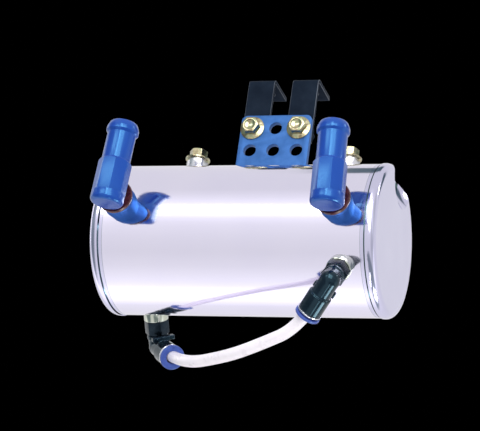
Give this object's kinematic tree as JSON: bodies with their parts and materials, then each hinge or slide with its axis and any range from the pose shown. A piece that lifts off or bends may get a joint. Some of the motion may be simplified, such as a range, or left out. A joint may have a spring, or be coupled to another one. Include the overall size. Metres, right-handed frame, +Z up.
{
  "type": "oil catch can",
  "caption": "Round aluminium oil catch can hung from a drilled plate and bent stays, with swivelling hose unions, plugged ports and a sight tube on push-in elbows.",
  "frame": {"origin": "middle of the two hanging holes, on top of the bent stays", "axes": "+X along the tank to its scooped cap, +Y back from the hose unions, +Z up through the hanging holes"},
  "size_m": [0.1469, 0.1086, 0.1605],
  "materials": {
    "tank": "polished, with a soft lilac cast",
    "cap": "turned and satin polished",
    "plate": "blue anodised, slightly mottled",
    "weld": "as welded, polished over",
    "baffle": "mill finish",
    "stay": "black powder coat",
    "fastener": "yellow zinc plate, iridescent",
    "boss": "machined",
    "washer": "plain crush washer",
    "union": "deep blue anodised aluminium, bright",
    "union_seal": "red-brown bonded seal",
    "clip": "spring steel",
    "gauge_stem": "black nickel plated",
    "elbow": "glossy black nylon",
    "seal": "nitrile",
    "grip": "spring steel",
    "guide": "bright",
    "release": "blue acetal",
    "tube": "milky translucent nylon"
  },
  "bodies": {
    "root": {"tank_shell": "tank", "left_end_cap": "cap", "right_end_cap": "cap", "baffle_plate": "baffle", "mounting_plate": "plate", "front_weld": "weld", "rear_weld": "weld", "sight_tube": "tube", "left_stay": "stay", "left_stay_bolt": "fastener", "left_stay_nut": "fastener", "left_crown_boss": "boss", "left_plug_washer": "washer", "left_plug_bolt": "fastener", "left_union_seat": "union", "left_union_seal": "union_seal", "left_gauge_bung": "boss", "left_gauge_stem": "gauge_stem", "left_gauge_elbow": "elbow", "left_tube_seal": "seal", "left_grip_ring": "grip", "left_guide_ring": "guide", "right_stay": "stay", "right_stay_bolt": "fastener", "right_stay_nut": "fastener", "right_crown_boss": "boss", "right_plug_washer": "washer", "right_plug_bolt": "fastener", "right_union_seat": "union", "right_union_seal": "union_seal", "right_gauge_bung": "boss", "right_gauge_stem": "gauge_stem", "right_gauge_elbow": "elbow", "right_tube_seal": "seal", "right_grip_ring": "grip", "right_guide_ring": "guide"},
    "left_union": {"left_union_elbow": "union", "left_union_clip": "clip"},
    "right_union": {"right_union_elbow": "union", "right_union_clip": "clip"},
    "left_release": {"left_release_ring": "release"},
    "right_release": {"right_release_ring": "release"}
  },
  "joints": [
    {"name": "left_union_swivel", "type": "hinge", "parent": "root", "child": "left_union", "pos_m": [-0.0595, -0.0765, -0.092], "axis": [0, 1, 0], "continuous": true},
    {"name": "right_union_swivel", "type": "hinge", "parent": "root", "child": "right_union", "pos_m": [0.0513, -0.0765, -0.0932], "axis": [0, 1, 0], "continuous": true},
    {"name": "left_release_press", "type": "slide", "parent": "root", "child": "left_release", "axis": [-0.6198, 0.6142, 0.4885], "range_m": [0, 0.0008], "stiffness_N_per_m": 400},
    {"name": "right_release_press", "type": "slide", "parent": "root", "child": "right_release", "axis": [0.5878, -0.5455, 0.5974], "range_m": [0, 0.0008], "stiffness_N_per_m": 400}
  ]
}
